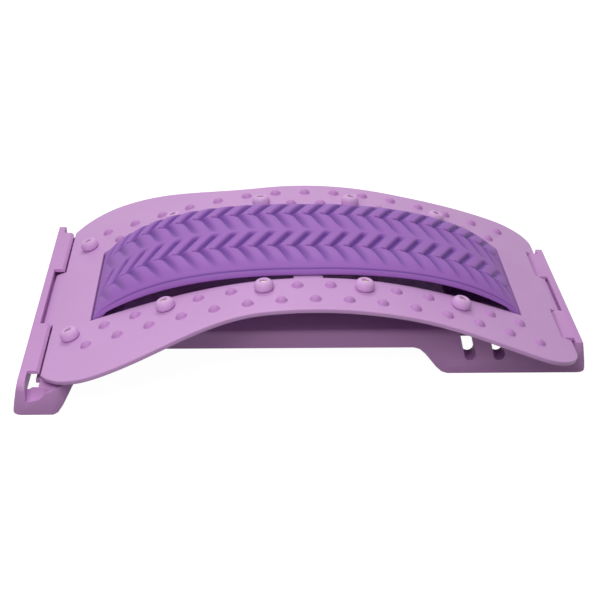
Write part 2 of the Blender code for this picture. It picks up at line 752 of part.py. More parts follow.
def pad_ring(t, relief):
    """One closed ring of the pad: over its top from the front edge to the back, at t from its
    middle."""
    half = PAD_END_HALF_WIDTH + PAD_BOW * math.cos(math.pi / 2 * t / PAD_HALF_LENGTH)
    field = half - PAD_BORDER
    lift = pad_lift(t)
    fade = 1.0 - abs(t / PAD_HALF_LENGTH) ** CHEVRON_FADE_POWER
    ramp = max(0.0, abs(t) - (PAD_HALF_LENGTH - PAD_RAMP_LENGTH)) / PAD_RAMP_LENGTH
    foot = lift * (1.0 - ramp) + PAD_FOOT * ramp
    rows = [
        (-field, 0.0, False),
        (-field + CHEVRON_MARGIN, 1.0, True),
        (-field / 2, 0.0, True),
        (0.0, 1.0, True),
        (field / 2, 0.0, True),
        (field - CHEVRON_MARGIN, 1.0, True),
        (field, 0.0, False),
    ]
    s = WINDOW_MIDDLE_S + t
    ring = [(s, -half, foot), (s, -half, lift + pad_top(t, 1.0))]
    for y, sweep, carved in rows:
        sunk = relief * CHEVRON_DEPTH * fade if carved else 0.0
        along = min(t + sweep * CHEVRON_SWEEP * fade, PAD_HALF_LENGTH)
        ring.append((WINDOW_MIDDLE_S + along, y, lift + pad_top(t, y / half) - sunk))
    ring += [(s, half, lift + pad_top(t, 1.0)), (s, half, foot)]
    return ring


def pad_tongue_ring(t, count):
    """A ring of the flat tongue that is tucked under the board, with the same point count."""
    s = WINDOW_MIDDLE_S + t
    top = PAD_FOOT + PAD_TONGUE_THICKNESS
    half = PAD_END_HALF_WIDTH
    ring = [(s, -half, PAD_FOOT)]
    inner = count - 2
    for k in range(inner):
        ring.append((s, -half + 2 * half * k / (inner - 1), top))
    ring.append((s, half, PAD_FOOT))
    return ring


def make_pad(material, hinge):
    """The soft pad: chevrons in two rows, pointing left, and a tongue at each end."""
    pitch = 2 * PAD_HALF_LENGTH / CHEVRON_COUNT
    loops = []
    for k in range(CHEVRON_COUNT):
        for share, depth in CHEVRON_SECTION:
            loops.append(pad_ring(-PAD_HALF_LENGTH + (k + share) * pitch, depth))
    loops.append(pad_ring(PAD_HALF_LENGTH, 0.0))
    count = len(loops[0])
    for reach in (PAD_TONGUE_STEP, PAD_END_CLEARANCE + PAD_TONGUE_LENGTH):
        loops.append(pad_tongue_ring(PAD_HALF_LENGTH + reach, count))
        loops.insert(0, pad_tongue_ring(-PAD_HALF_LENGTH - reach, count))
    mesh = rings("chevron_pad", loops, False)
    bend_onto_arch(mesh)
    mesh.shade_smooth()
    mesh.set_sharp_from_angle(angle=SHARP_ANGLE)
    return link_object("chevron_pad", mesh, material, hinge)


def cap_profile():
    """Section of one cap: dome, foot, stem through the board, snap rim and magnet pocket."""
    below = -BOARD_THICKNESS - TOUCH_GAP
    bottom = below - CAP_SNAP_LENGTH
    pocket = MAGNET_RADIUS + TOUCH_GAP
    centre = (0.0, CAP_FOOT_HEIGHT)
    rise = CAP_HEIGHT - CAP_FOOT_HEIGHT
    dome = arc_points(centre, CAP_RADIUS, rise, CAP_DOME_ANGLE, 0, 2)
    return [(CAP_EYE_RADIUS, CAP_HEIGHT)] + dome + [
        (CAP_RADIUS, TOUCH_GAP),
        (CAP_STEM_RADIUS, TOUCH_GAP),
        (CAP_STEM_RADIUS, below),
        (CAP_SNAP_RADIUS, below),
        (CAP_STEM_RADIUS, bottom),
        (pocket, bottom),
        (pocket, CAP_POCKET_TOP),
        (CAP_EYE_RADIUS, CAP_POCKET_TOP),
    ]


def make_caps(cap_material, magnet_material, hinge):
    """Ten caps and their magnets, set square to the board."""
    cap_mesh = turned("magnet_cap", cap_profile(), ROUND_SEGMENTS, True)
    top = CAP_POCKET_TOP - TOUCH_GAP
    magnet_profile = [(MAGNET_RADIUS, top - MAGNET_LENGTH), (MAGNET_RADIUS, top)]
    magnet_mesh = turned("magnet", magnet_profile, ROUND_SEGMENTS, False)
    for mesh in (cap_mesh, magnet_mesh):
        mesh.shade_smooth()
        mesh.set_sharp_from_angle(angle=SHARP_ANGLE)
    for number, (s, y) in enumerate(cap_places(), start=1):
        place = on_arch(s, y, 0.0) - HINGE
        cap = link_object(f"magnet_cap_{number:02d}", cap_mesh, cap_material, hinge)
        magnet = link_object(f"magnet_{number:02d}", magnet_mesh, magnet_material, hinge)
        for thing in (cap, magnet):
            thing.location = place
            thing.rotation_euler = (0.0, slope_at(s), 0.0)


def main():
    clear_scene()
    hinge = bpy.data.objects.new("board_hinge", None)
    bpy.context.collection.objects.link(hinge)
    hinge.location = HINGE
    make_base(plastic("base lilac abs", LILAC, roughness=0.42))
    make_board(plastic("board lilac abs", LILAC, roughness=0.40), hinge)
    make_pad(plastic("pad purple elastomer", PURPLE, roughness=0.55), hinge)
    cap_material = plastic("cap lilac abs", LILAC, roughness=0.35)
    magnet_material = plastic("magnet nickel plate", STEEL, roughness=0.30, metallic=1.0)
    make_caps(cap_material, magnet_material, hinge)


main()
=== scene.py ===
# %% [markdown]
# The real object is a back stretcher: a thin arched board of lilac ABS, sprung between the end
# rails of a moulded base. Small nubs and ten magnet caps stand on the board, and a soft purple
# pad with two rows of chevrons fills its window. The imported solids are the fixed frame, and every
# new piece here is a finer skin over one of them, in metres and in the same place.

# %% Load the frame and keep its box
import math

import bmesh
import bpy
import numpy as np
from mathutils import Matrix, Vector


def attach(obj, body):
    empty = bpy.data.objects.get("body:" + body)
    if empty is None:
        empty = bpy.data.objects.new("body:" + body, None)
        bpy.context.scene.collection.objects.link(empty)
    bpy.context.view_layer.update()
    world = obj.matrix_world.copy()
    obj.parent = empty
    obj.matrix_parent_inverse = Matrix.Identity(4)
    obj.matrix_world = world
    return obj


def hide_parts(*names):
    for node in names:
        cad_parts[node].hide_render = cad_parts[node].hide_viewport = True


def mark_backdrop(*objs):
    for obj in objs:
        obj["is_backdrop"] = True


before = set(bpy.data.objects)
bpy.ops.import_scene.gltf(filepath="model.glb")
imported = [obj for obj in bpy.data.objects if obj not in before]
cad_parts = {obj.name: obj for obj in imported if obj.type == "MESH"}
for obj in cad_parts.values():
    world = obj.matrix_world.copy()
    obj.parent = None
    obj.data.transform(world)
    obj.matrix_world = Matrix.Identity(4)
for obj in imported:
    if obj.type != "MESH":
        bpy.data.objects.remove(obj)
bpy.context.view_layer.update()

MM = 0.001

# %% [markdown]
# The photograph looks down on the object at about 28 degrees from a little to the left, with the
# long side across the picture. A camera could be aimed at a target by a constraint. A place and
# three axes are surer here, because the slight roll of the picture is part of those axes.

# %% Camera
PITCH, YAW, ROLL = 0.48904, 0.0473, 0.017979
CAMERA_PLACE = (-0.0430, -0.8640, 0.4790)
LENS = 81.23


def photo_camera():
    """Forward comes from pitch and yaw, in radians, right is level, up is their cross product, and
    roll turns right and up together."""
    level = math.cos(PITCH)
    forward = np.array([math.sin(YAW) * level, math.cos(YAW) * level, -math.sin(PITCH)])
    right = np.array([math.cos(YAW), -math.sin(YAW), 0.0])
    up = np.cross(right, forward)
    rolled_right = math.cos(ROLL) * right + math.sin(ROLL) * up
    rolled_up = -math.sin(ROLL) * right + math.cos(ROLL) * up
    axes = np.column_stack([rolled_right, rolled_up, -forward])
    data = bpy.data.cameras.new("photo_camera")
    data.lens = LENS
    camera = bpy.data.objects.new("photo_camera", data)
    bpy.context.collection.objects.link(camera)
    camera.matrix_world = Matrix.LocRotScale(Vector(CAMERA_PLACE), Matrix(axes.tolist()), None)
    return camera


bpy.context.scene.camera = photo_camera()
print("camera lens", LENS, "mm at", CAMERA_PLACE)

# %% [markdown]
# The board is a strip that is bent by its end rails. A sprung strip's slope grows like a sine from
# its crown and stays the same near its ends. A curve modifier could bend it, but it would stretch the
# nubs too. Adding up the slope's cosine and sine along the strip gives its place instead, so every
# piece on the board is laid out flat, as (s, y, height), and then bent by one function.

# %% The arch that carries the board, nubs, caps and pad
END_SLOPE = math.radians(20.4)
BEND_LENGTH = 164 * MM
CROWN_X, CROWN_Z = 4 * MM, 65.5546 * MM
ARC_STEP = 0.1 * MM
ARC_REACH = 250 * MM

arc = np.arange(0.0, ARC_REACH, ARC_STEP)
arc_slope = END_SLOPE * np.sin(np.pi / 2 * np.minimum(arc / BEND_LENGTH, 1.0))
mean_slope = (arc_slope[1:] + arc_slope[:-1]) / 2
arc_x = np.concatenate([[0.0], np.cumsum(np.cos(mean_slope)) * ARC_STEP])
arc_drop = np.concatenate([[0.0], np.cumsum(np.sin(mean_slope)) * ARC_STEP])


def slope_at(s):
    """Slope of the sheet at arc length s, falling away from the crown on both sides."""
    return np.sign(s) * np.interp(np.abs(s), arc, arc_slope)


def bent(s, y, height):
    """Flat points go onto the arch: the place at arc length s on the sheet's top face, plus the
    height along that place's normal, which is (sine, 0, cosine) of the slope."""
    s, y, height = np.broadcast_arrays(s, y, height)
    slope = slope_at(s)
    x = CROWN_X + np.sign(s) * np.interp(np.abs(s), arc, arc_x) + height * np.sin(slope)
    z = CROWN_Z - np.interp(np.abs(s), arc, arc_drop) + height * np.cos(slope)
    return np.stack([x, y, z], axis=-1)


print("arch rises", round((CROWN_Z - bent(0.19, 0, 0)[2]) / MM, 1), "mm over its right half")

# %% [markdown]
# A surface on a grid needs only its points and the four corners of each cell. Blender's own grid
# could be moved into shape, but it always has all its cells. These helpers number the cells of any
# grid, so that cells that the real piece doesn't have can be left out, and put points and cells
# into a mesh that stands at the origin.

# %% Helpers that turn grids into pieces


def cells(rows, columns, around=False):
    """Corner numbers of each cell of a rows by columns grid, joined round the columns if asked."""
    number = np.arange(rows * columns).reshape(rows, columns)
    if around:
        number = np.concatenate([number, number[:, :1]], axis=1)
    corners = [number[:-1, :-1], number[:-1, 1:], number[1:, 1:], number[1:, :-1]]
    return np.stack(corners, axis=-1)


def piece(name, points, faces, material, body):
    """A new object from points and cells, with unused points dropped, that rides on a body."""
    faces = np.asarray(faces).reshape(-1, 4)
    used, faces = np.unique(faces, return_inverse=True)
    mesh = bpy.data.meshes.new(name)
    mesh.from_pydata(points.reshape(-1, 3)[used].tolist(), [], faces.reshape(-1, 4).tolist())
    mesh.materials.append(material)
    mesh.shade_smooth()
    made = bpy.data.objects.new(name, mesh)
    bpy.context.collection.objects.link(made)
    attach(made, body)
    return made


def face_out(made, close=False):
    """Turn all faces of a closed mesh outwards. Open rings are filled first if asked."""
    work = bmesh.new()
    work.from_mesh(made.data)
    if close:
        bmesh.ops.holes_fill(work, edges=[e for e in work.edges if e.is_boundary])
    bmesh.ops.recalc_face_normals(work, faces=work.faces)
    work.to_mesh(made.data)
    work.free()


def round_edges(work, edges, radius, steps, clamp):
    """Bevel these edges of a bmesh to a quarter round."""
    geometry = list({v for e in edges for v in e.verts}) + edges
    bmesh.ops.bevel(work, geom=geometry, offset=radius, segments=steps, profile=0.5,
                    affect="EDGES", offset_type="OFFSET", clamp_overlap=clamp)


print("a 3 by 4 grid has", cells(3, 4)[..., 0].size, "cells, and", cells(3, 4, True)[..., 0].size, "round")

# %% [markdown]
# Colours are read as sRGB hex and turned to linear light once. A material is a small tree of
# nodes. It could be wired by hand in the editor, but one helper that adds a node with its settings
# and its inputs keeps each tree to a few lines. Most of a noise's values lie between 0.3 and 0.7,
# so that range is what the materials turn into gloss.

# %% Colour and node helpers
NOISE_LOW, NOISE_HIGH = 0.3, 0.7


def linear(code):
    """Linear light from an sRGB hex code: a straight part below 0.04045, a 2.4 power above."""
    share = np.array([int(code[k:k + 2], 16) for k in (1, 3, 5)]) / 255
    light = np.where(share <= 0.04045, share / 12.92, ((share + 0.055) / 1.055) ** 2.4)
    return (*light.tolist(), 1.0)


def node(tree, kind, inputs=None, **settings):
    """A node of this kind with its settings, and inputs that are values or other sockets."""
    made = tree.nodes.new(kind)
    for name, value in settings.items():
        setattr(made, name, value)
    for socket, value in (inputs or {}).items():
        if isinstance(value, bpy.types.NodeSocket):
            tree.links.new(value, made.inputs[socket])
        else:
            made.inputs[socket].default_value = value
    return made


def new_material(name):
    """A material with its tree and its Principled shader."""
    material = bpy.data.materials.new(name)
    material.use_nodes = True
    tree = material.node_tree
    return material, tree, tree.nodes["Principled BSDF"]


print("board lilac in linear light:", [round(v, 3) for v in linear("#D2A3D7")[:3]])

# %% [markdown]
# Base, board, nubs and caps are injection-moulded ABS. The mould was finished satin, so highlights
# are broad and soft, and the gloss and the colour vary a very little over a few centimetres. The
# spark-eroded grain of such a mould is under a tenth of a millimetre. It is drawn 0.4 to 0.5 mm
# coarse, because a finer one wouldn't show at all. Noise does all of this without a texture file.
# The nubs' lilac is slightly deeper than the sheet's, as painted shade for the shade on their
# flanks, and the caps' lilac is paler.

# %% Satin moulded ABS
ABS_IOR, ABS_SPECULAR = 1.53, 0.16
CLOUD_MM, CLOUD_GLOSS = 45, 0.03
GRAIN_HEIGHT, GRAIN_STRENGTH = 0.02 * MM, 0.25


def satin_abs(name, colour, cloudy_colour, roughness, grain_mm):
    """Colour mixes two close tones by noise 45 mm across, roughness varies by the same noise, and
    a fine noise of the given grain lifts the surface by hundredths of a millimetre."""
    material, tree, shader = new_material(name)
    place = node(tree, "ShaderNodeTexCoord").outputs["Object"]
    cloud = node(tree, "ShaderNodeTexNoise",
                 {"Vector": place, "Scale": 1 / (CLOUD_MM * MM), "Detail": 3.0}).outputs["Fac"]
    tone = node(tree, "ShaderNodeMix",
                {"Factor": cloud, "A": linear(colour), "B": linear(cloudy_colour)},
                data_type="RGBA")
    gloss = node(tree, "ShaderNodeMapRange",
                 {"Value": cloud, "From Min": NOISE_LOW, "From Max": NOISE_HIGH,
                  "To Min": roughness - CLOUD_GLOSS, "To Max": roughness + CLOUD_GLOSS})
    grain = node(tree, "ShaderNodeTexNoise",
                 {"Vector": place, "Scale": 1 / (grain_mm * MM), "Detail": 2.0})
    bump = node(tree, "ShaderNodeBump",
                {"Height": grain.outputs["Fac"], "Strength": GRAIN_STRENGTH,
                 "Distance": GRAIN_HEIGHT})
    tree.links.new(tone.outputs["Result"], shader.inputs["Base Color"])
    tree.links.new(gloss.outputs["Result"], shader.inputs["Roughness"])
    tree.links.new(bump.outputs["Normal"], shader.inputs["Normal"])
    shader.inputs["IOR"].default_value = ABS_IOR
    shader.inputs["Specular IOR Level"].default_value = ABS_SPECULAR
    return material


base_abs = satin_abs("base satin moulded ABS", "#CD9AD1", "#C894CD", 0.46, 0.5)
board_abs = satin_abs("board satin moulded ABS", "#D2A3D7", "#CD9DD4", 0.44, 0.5)
# The nubs' deeper lilac is painted shade for the shade on their flanks.
nub_shaded_abs = satin_abs("nub satin moulded ABS", "#C68FCD", "#C18AC9", 0.42, 0.4)
cap_abs = satin_abs("cap satin moulded ABS", "#DEB0E4", "#D9AADE", 0.38, 0.4)
print("ABS materials:", base_abs.name, board_abs.name, nub_shaded_abs.name, cap_abs.name)

# %% [markdown]
# The pad is a soft thermoplastic elastomer, moulded with a matt skin. To the eye it is a deeper
# purple with almost no sharp highlight. Its valleys, its border line and the foot of its sides are
# painted a darker purple as shade. A pattern on coordinates could miss the valleys, so this
# painted shade follows a value that the pad's own mesh carries, 0 on the crests, and 1 in the
# valleys, in the border line and at the foot of the sides.
# The skin's real grain is about a tenth of a millimetre, and is drawn 0.6 mm coarse to show.

# %% Matt moulded elastomer
ELASTOMER_IOR, ELASTOMER_SPECULAR = 1.50, 0.25
SKIN_MM, SKIN_HEIGHT, SKIN_STRENGTH = 0.6, 0.03 * MM, 0.3
SHEEN_MM, SHEEN_BELOW, SHEEN_ABOVE = 30, 0.03, 0.04


def matt_elastomer(name, crest, valley_shade_colour, roughness):
    """The crest colour and the valleys' painted shade mix by the mesh's own groove shade value, a fine
    noise of 0.6 mm gives the matt skin, and the gloss varies by a noise 30 mm across."""
    material, tree, shader = new_material(name)
    place = node(tree, "ShaderNodeTexCoord").outputs["Object"]
    groove_shade = node(tree, "ShaderNodeAttribute", attribute_name="groove_shade").outputs["Fac"]
    tone = node(tree, "ShaderNodeMix",
                {"Factor": groove_shade, "A": linear(crest), "B": linear(valley_shade_colour)},
                data_type="RGBA")
    skin = node(tree, "ShaderNodeTexNoise",
                {"Vector": place, "Scale": 1 / (SKIN_MM * MM), "Detail": 3.0})
    bump = node(tree, "ShaderNodeBump",
                {"Height": skin.outputs["Fac"], "Strength": SKIN_STRENGTH,
                 "Distance": SKIN_HEIGHT})
    cloud = node(tree, "ShaderNodeTexNoise",
                 {"Vector": place, "Scale": 1 / (SHEEN_MM * MM), "Detail": 2.0})
    gloss = node(tree, "ShaderNodeMapRange",
                 {"Value": cloud.outputs["Fac"], "From Min": NOISE_LOW, "From Max": NOISE_HIGH,
                  "To Min": roughness - SHEEN_BELOW, "To Max": roughness + SHEEN_ABOVE})
    tree.links.new(tone.outputs["Result"], shader.inputs["Base Color"])
    tree.links.new(gloss.outputs["Result"], shader.inputs["Roughness"])
    tree.links.new(bump.outputs["Normal"], shader.inputs["Normal"])
    shader.inputs["IOR"].default_value = ELASTOMER_IOR
    shader.inputs["Specular IOR Level"].default_value = ELASTOMER_SPECULAR
    return material


# The valley colour #633590 is painted shade for the valleys, the border line and the sides' feet.
pad_elastomer = matt_elastomer("pad matt moulded elastomer", "#A069BE", "#633590", 0.56)
print("pad material:", pad_elastomer.name)

# %% [markdown]
# The magnets are pressed discs with dull nickel plate. Only their tops show, at the bottom of each
# cap's eye, where they give a small pale glint. Their solids have the right shape, so they stay as
# they are and only get this metal. One even roughness would do, but such plate is never quite
# even, so a noise varies it. Its specks are finer, and are drawn 1.5 mm wide so that they show.

# %% Dull nickel plate
SPOT_MM = 1.5
PLATE_SMOOTH, PLATE_DULL = 0.28, 0.42


def dull_nickel(name, colour):
    """A metal whose roughness varies between 0.28 and 0.42 over spots of 1.5 mm."""
    material, tree, shader = new_material(name)
    place = node(tree, "ShaderNodeTexCoord").outputs["Object"]
    spots = node(tree, "ShaderNodeTexNoise",
                 {"Vector": place, "Scale": 1 / (SPOT_MM * MM), "Detail": 2.0})
    gloss = node(tree, "ShaderNodeMapRange",
                 {"Value": spots.outputs["Fac"], "From Min": NOISE_LOW, "From Max": NOISE_HIGH,
                  "To Min": PLATE_SMOOTH, "To Max": PLATE_DULL})
    tree.links.new(gloss.outputs["Result"], shader.inputs["Roughness"])
    shader.inputs["Base Color"].default_value = linear(colour)
    shader.inputs["Metallic"].default_value = 1.0
    return material


nickel = dull_nickel("magnet dull nickel plate", "#DCD3C8")
magnets = [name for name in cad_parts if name.startswith("magnet_") and "cap" not in name]
for name in magnets:
    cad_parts[name].data.materials.clear()
    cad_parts[name].data.materials.append(nickel)
print("nickel on", len(magnets), "magnets")

# %% [markdown]
# The base is a deep shell with feet, a raised bridge, end rails with lips, and level slots. Its
# solid already has every wall, so the skin is a copy of that solid: the loose triangles are
# merged, flat neighbours are joined into whole faces, and all sharp edges are rounded the way a
# mould rounds them. Drawing it anew would only risk moving it.

# %% Base: the solid's own walls with moulded edges
BASE_EDGE, DECK_ROUND = 0.8 * MM, 4.5 * MM
SIDE_WALL, DECK_LOW = 72.5 * MM, 32.5 * MM


def on_deck_edge(point):
    """Whether a point lies on a side wall at the level of the deck."""
    return abs(abs(point.y) - SIDE_WALL) < 0.05 * MM and point.z > DECK_LOW


def base_shell():
    """A merged copy of the base's solid with faces flat within one degree joined. The long edges
    where the deck meets the side walls get a wide round, and a Bevel rounds the others."""
    work = bmesh.new()
    work.from_mesh(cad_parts["base"].data)
    bmesh.ops.remove_doubles(work, verts=work.verts, dist=0.01 * MM)
    bmesh.ops.dissolve_limit(work, angle_limit=math.radians(1.0), verts=work.verts, edges=work.edges)
    deck = [e for e in work.edges if all(on_deck_edge(v.co) for v in e.verts)]
    round_edges(work, [e for e in deck if e.calc_length() > 3 * MM], DECK_ROUND, 6, False)
    mesh = bpy.data.meshes.new("base_shell")
    work.to_mesh(mesh)
    work.free()
    mesh.materials.clear()
    mesh.materials.append(base_abs)
    mesh.shade_smooth()
    made = bpy.data.objects.new("base_shell", mesh)
    bpy.context.collection.objects.link(made)
    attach(made, "base")
    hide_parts("base")
    bevel = made.modifiers.new("soft edges", "BEVEL")
    bevel.width = BASE_EDGE
    bevel.segments = 3
    bevel.limit_method = "ANGLE"
    bevel.angle_limit = math.radians(30)
    bevel.harden_normals = True
    return made


base = base_shell()
print("base shell:", len(base.data.polygons), "faces before the bevel")

# %% [markdown]
# The board is one sheet 3 mm thick with a waist, flared ends, tongues between the rail lips and a
# window in two halves. A flat outline cut by Booleans shades badly when bent, so the sheet is a
# quilt: lines across the board follow its window, notches and outline, the grid between them is
# bent onto the arch, and the cells over the window and the notches are left out.

# %% Board: the lines that the quilt follows
LEFT_END, RIGHT_END = -192.678 * MM, 184.143 * MM
NOTCH = 7.5 * MM
LEFT_NOTCH, RIGHT_NOTCH = LEFT_END + NOTCH, RIGHT_END - NOTCH
WINDOW_LEFT, WINDOW_RIGHT = -155.978 * MM, 149.243 * MM
WINDOW_MIDDLE = (WINDOW_LEFT + WINDOW_RIGHT) / 2
WINDOW_HALF = (WINDOW_RIGHT - WINDOW_LEFT) / 2
WINDOW_END, WINDOW_BOW = 53 * MM, 3 * MM
BAR_HALF = 10 * MM
LEFT_CORNER_LENGTH, LEFT_CORNER_WIDTH = 46 * MM, 51 * MM
RIGHT_CORNER_LENGTH, RIGHT_CORNER_WIDTH = 30 * MM, 25.5 * MM
LEFT_CORNER, RIGHT_CORNER = LEFT_END + LEFT_CORNER_LENGTH, RIGHT_END - RIGHT_CORNER_LENGTH
LEFT_TONGUE, RIGHT_TONGUE, RIGHT_EAR = 40.5 * MM, 25.5 * MM, 66.5 * MM
WAIST, LEFT_FLARE, RIGHT_FLARE = 100.5 * MM, 131 * MM, 108 * MM
LEFT_EASE, RIGHT_EASE = 113 * MM, 90 * MM
COLUMN_STEP = 3.2 * MM


def ease(share):
    """Half a cosine wave from 0 to 1."""
    return 0.5 - 0.5 * np.cos(np.pi * np.clip(share, 0.0, 1.0))


def outline(s):
    """Half width of the board: the waist, eased out to each flare, and round the left corner a
    quarter ellipse, whose drop is its width times one less the root of one less share squared."""
    left = WAIST + (LEFT_FLARE - WAIST) * ease((LEFT_CORNER - s) / LEFT_EASE + 1)
    right = WAIST + (RIGHT_FLARE - WAIST) * ease((s - RIGHT_CORNER) / RIGHT_EASE + 1)
    into = np.clip((LEFT_CORNER - s) / LEFT_CORNER_LENGTH, 0.0, 1.0)
    corner = LEFT_CORNER_WIDTH * (1 - np.sqrt(1 - into ** 2))
    return np.where(s < 0, left - corner, right)


def window_edge(s):
    """Half width of the window: 53 mm at its ends and 3 mm more at its middle, a cosine bow."""
    share = np.clip((s - WINDOW_MIDDLE) / WINDOW_HALF, -1.0, 1.0)
    return WINDOW_END + WINDOW_BOW * np.cos(np.pi / 2 * share)


def spaced(breaks, step):
    """Places through all the breaks, evenly spaced between each two, about a step apart."""
    counts = [max(1, round((b - a) / step)) for a, b in zip(breaks, breaks[1:])]
    parts = [np.linspace(a, b, n + 1)[:-1] for a, b, n in zip(breaks, breaks[1:], counts)]
    return np.concatenate(parts + [breaks[-1:]])


column_s = spaced([LEFT_END, LEFT_NOTCH, WINDOW_LEFT, LEFT_CORNER,
                   WINDOW_MIDDLE - BAR_HALF, WINDOW_MIDDLE + BAR_HALF,
                   WINDOW_RIGHT, RIGHT_CORNER, RIGHT_NOTCH, RIGHT_END], COLUMN_STEP)
print("columns along the board:", len(column_s))

# %% [markdown]
# The board's right corners are round, and a grid with straight columns would leave steps there. So
# that corner's block of the grid is stretched between its four sides, two of which follow the
# round. A bevel could round a plain corner too, but not with a length and a width of its own.

# %% Board: right corners
STRAIGHT_SHARE = 0.43


def right_corner(s, y, first_row, first_column):
    """The corner's block follows a quarter ellipse of 30 by 25.5 mm. Each point is the sum of the
    two straight blends between opposite sides, less the blend of the four corner points."""
    block = (slice(first_row, None), slice(first_column, None))
    rows, columns = s[block].shape
    u = np.linspace(0.0, 1.0, columns)[None, :, None]
    v = np.linspace(0.0, 1.0, rows)[:, None, None]
    centre = np.array([RIGHT_CORNER, RIGHT_FLARE - RIGHT_CORNER_WIDTH])
    reach = np.array([RIGHT_CORNER_LENGTH, RIGHT_CORNER_WIDTH])
    angle = np.pi / 2 - np.pi / 4 * u[0]
    top = centre + reach * np.concatenate([np.cos(angle), np.sin(angle)], axis=1)
    past = np.clip((v[:, 0] - STRAIGHT_SHARE) / (1 - STRAIGHT_SHARE), 0.0, 1.0)
    turn = np.pi / 4 * past
    side = centre + reach * np.concatenate([np.cos(turn), np.sin(turn)], axis=1)
    up = np.clip(v[:, 0, 0] / STRAIGHT_SHARE, 0.0, 1.0)
    side[:, 1] = np.where(up < 1, RIGHT_EAR + (centre[1] - RIGHT_EAR) * up, side[:, 1])
    low = np.stack([s[first_row, first_column:], y[first_row, first_column:]], axis=-1)
    start = np.stack([s[first_row:, first_column], y[first_row:, first_column]], axis=-1)
    blend = (1 - v) * low[None] + v * top[None] + (1 - u) * start[:, None] + u * side[:, None]
    blend -= ((1 - u) * (1 - v) * low[0] + u * (1 - v) * low[-1]
              + (1 - u) * v * top[0] + u * v * top[-1])
    s[block], y[block] = blend[..., 0], blend[..., 1]


print("right corner:", round(RIGHT_CORNER_LENGTH / MM), "by", RIGHT_CORNER_WIDTH / MM, "mm")

# %% [markdown]
# A moulded sheet has a rounded rim. Solidify gives the quilt its thickness. Its result is kept as
# the mesh, because only then do the rim's upper and lower edges exist, and these get rounds of
# different sizes, which one Bevel modifier can't give.

# %% Board: thickness and rounded rim
SHEET = 3 * MM
UPPER_RIM, LOWER_RIM = 2.3 * MM, 0.5 * MM
SHARP = math.radians(50)


def give_thickness(made):
    """The sheet's top stays in place and its underside is 3 mm below it."""
    wall = made.modifiers.new("sheet thickness", "SOLIDIFY")
    wall.thickness = SHEET
    wall.offset = -1.0
    graph = bpy.context.evaluated_depsgraph_get()
    mesh = bpy.data.meshes.new_from_object(made.evaluated_get(graph))
    made.modifiers.clear()
    made.data = mesh


def round_rim(made):
    """An edge is a rim edge where its faces meet at over 50 degrees, and an upper one where one of
    them looks up. The upper ones get a wide quarter round and the lower ones a small one."""
    work = bmesh.new()
    work.from_mesh(made.data)
    for radius, steps, upper in ((UPPER_RIM, 6, True), (LOWER_RIM, 2, False)):
        work.normal_update()
        joined = [e for e in work.edges if len(e.link_faces) == 2]
        sharp = [e for e in joined if e.calc_face_angle() > SHARP]
        rim = [e for e in sharp if (max(f.normal.z for f in e.link_faces) > 0.5) == upper]
        round_edges(work, rim, radius, steps, True)
    work.to_mesh(made.data)
    work.free()
    made.data.shade_smooth()


print("rim rounds, mm:", UPPER_RIM / MM, "and", LOWER_RIM / MM)

# %% [markdown]
# Now the sheet itself. Six lines run along it: the middle, the edges of both tongues, the window,
# the ears and the outline. Rows of cells lie between each two. The front half is the back half
# mirrored, so the board is made once.

# %% Board: the sheet
ROWS_BETWEEN = (6, 4, 4, 4, 12)


def quilt():
    """Places (s, y) of the back half, with the rows' lines, and the zone of each row: the number
    of the line on its inner side."""
    level = np.ones_like(column_s)
    lines = np.stack([0 * level, RIGHT_TONGUE * level, LEFT_TONGUE * level,
                      window_edge(column_s), RIGHT_EAR * level, outline(column_s)])
    steps = [np.linspace(k, k + 1, n, endpoint=False) for k, n in enumerate(ROWS_BETWEEN)]
    row = np.concatenate(steps + [[5.0]])
    zone = np.minimum(row.astype(int), 4)
    share = (row - zone)[:, None]
    y = lines[zone] * (1 - share) + lines[zone + 1] * share
    s = np.tile(column_s, (len(row), 1))
    first_column = int(np.argmin(abs(column_s - RIGHT_CORNER)))
    right_corner(s, y, int(np.searchsorted(row, 4.0)), first_column)
    return s, y, zone[:-1, None]


def left_out(zone):
    """The cells of the back half that the sheet doesn't have: both notches and the window."""
    middle = ((column_s[1:] + column_s[:-1]) / 2)[None]
    away = abs(middle - WINDOW_MIDDLE)
    gone = (middle < LEFT_NOTCH) & (zone >= 2)
    gone |= (middle > RIGHT_NOTCH) & (zone >= 1) & (zone <= 3)
    gone |= (away < WINDOW_HALF) & (away > BAR_HALF) & (zone <= 2)
    return gone


def board_sheet():
    """Both halves of the quilt, bent, with thickness and rim."""
    s, y, zone = quilt()
    gone = left_out(zone)
    s = np.concatenate([s[:0:-1], s])
    y = np.concatenate([-y[:0:-1], y])
    faces = cells(*s.shape)[~np.concatenate([gone[::-1], gone])]
    made = piece("board_sheet", bent(s, y, 0.0), faces, board_abs, "board")
    give_thickness(made)
    round_rim(made)
    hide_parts("arch_board")
    return made


sheet = board_sheet()
print("board sheet:", len(sheet.data.polygons), "faces")

# %% [markdown]
# Fifty small nubs stand on the board in two rows on each side: a full outer row, and an inner row
# halfway between, where every third place has a cap instead. Each is a shallow dome about 7 mm
# across that runs into the sheet with a small fillet. Fifty copies of an object would each need a
# place of their own. One mesh, worked out at once, keeps them as the single moulding that they are.

# %% Nubs
PITCH_ALONG = 22.2 * MM
OUTER_Y, INNER_Y, CAP_Y = 86.8 * MM, 67.2 * MM, 69 * MM
NUB_RADIUS, NUB_HEIGHT = 3.6 * MM, 2.6 * MM
NUB_SIDES = 20


def nub_places():
    """Places (s, y): whole pitches in the outer rows, half pitches in the inner ones, without the
    places of the caps."""
    outer = np.arange(-7, 8) * PITCH_ALONG
    inner = np.arange(-7, 7) + 0.5
    inner = inner[np.abs(inner).astype(int) % 3 != 1] * PITCH_ALONG
    rows = [(outer, OUTER_Y), (outer, -OUTER_Y), (inner, INNER_Y), (inner, -INNER_Y)]
    return np.concatenate([np.stack([s, np.full(len(s), y)], axis=1) for s, y in rows])


